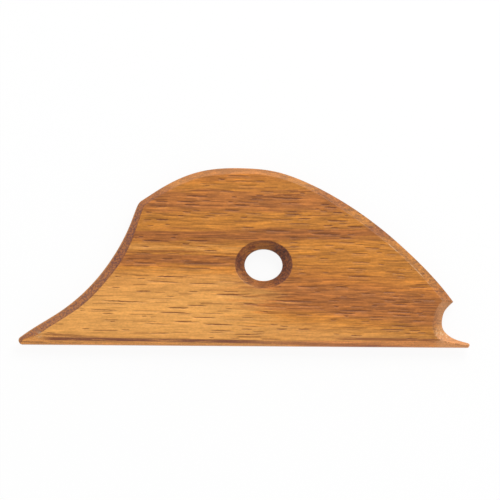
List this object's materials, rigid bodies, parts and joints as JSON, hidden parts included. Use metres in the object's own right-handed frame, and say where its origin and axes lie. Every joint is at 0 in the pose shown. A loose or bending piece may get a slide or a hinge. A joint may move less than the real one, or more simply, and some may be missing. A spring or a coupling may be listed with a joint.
{
  "type": "pottery rib",
  "caption": "Flat hardwood rib for shaping clay, with a straight base, a domed back, a hooked notch at one end, bevelled edges and an oval thumb hole.",
  "frame": {"origin": "middle of the board's outline box, on its lower flat face", "axes": "+X along the straight base towards the notched end, +Y from the straight base towards the domed back, +Z out of the upper flat face"},
  "size_m": [0.15, 0.0596, 0.0063],
  "materials": {
    "oiled_oak": "sanded smooth and oiled, satin, with open oak grain running along the straight base"
  },
  "bodies": {
    "root": {"rib_board": "oiled_oak"}
  },
  "joints": []
}
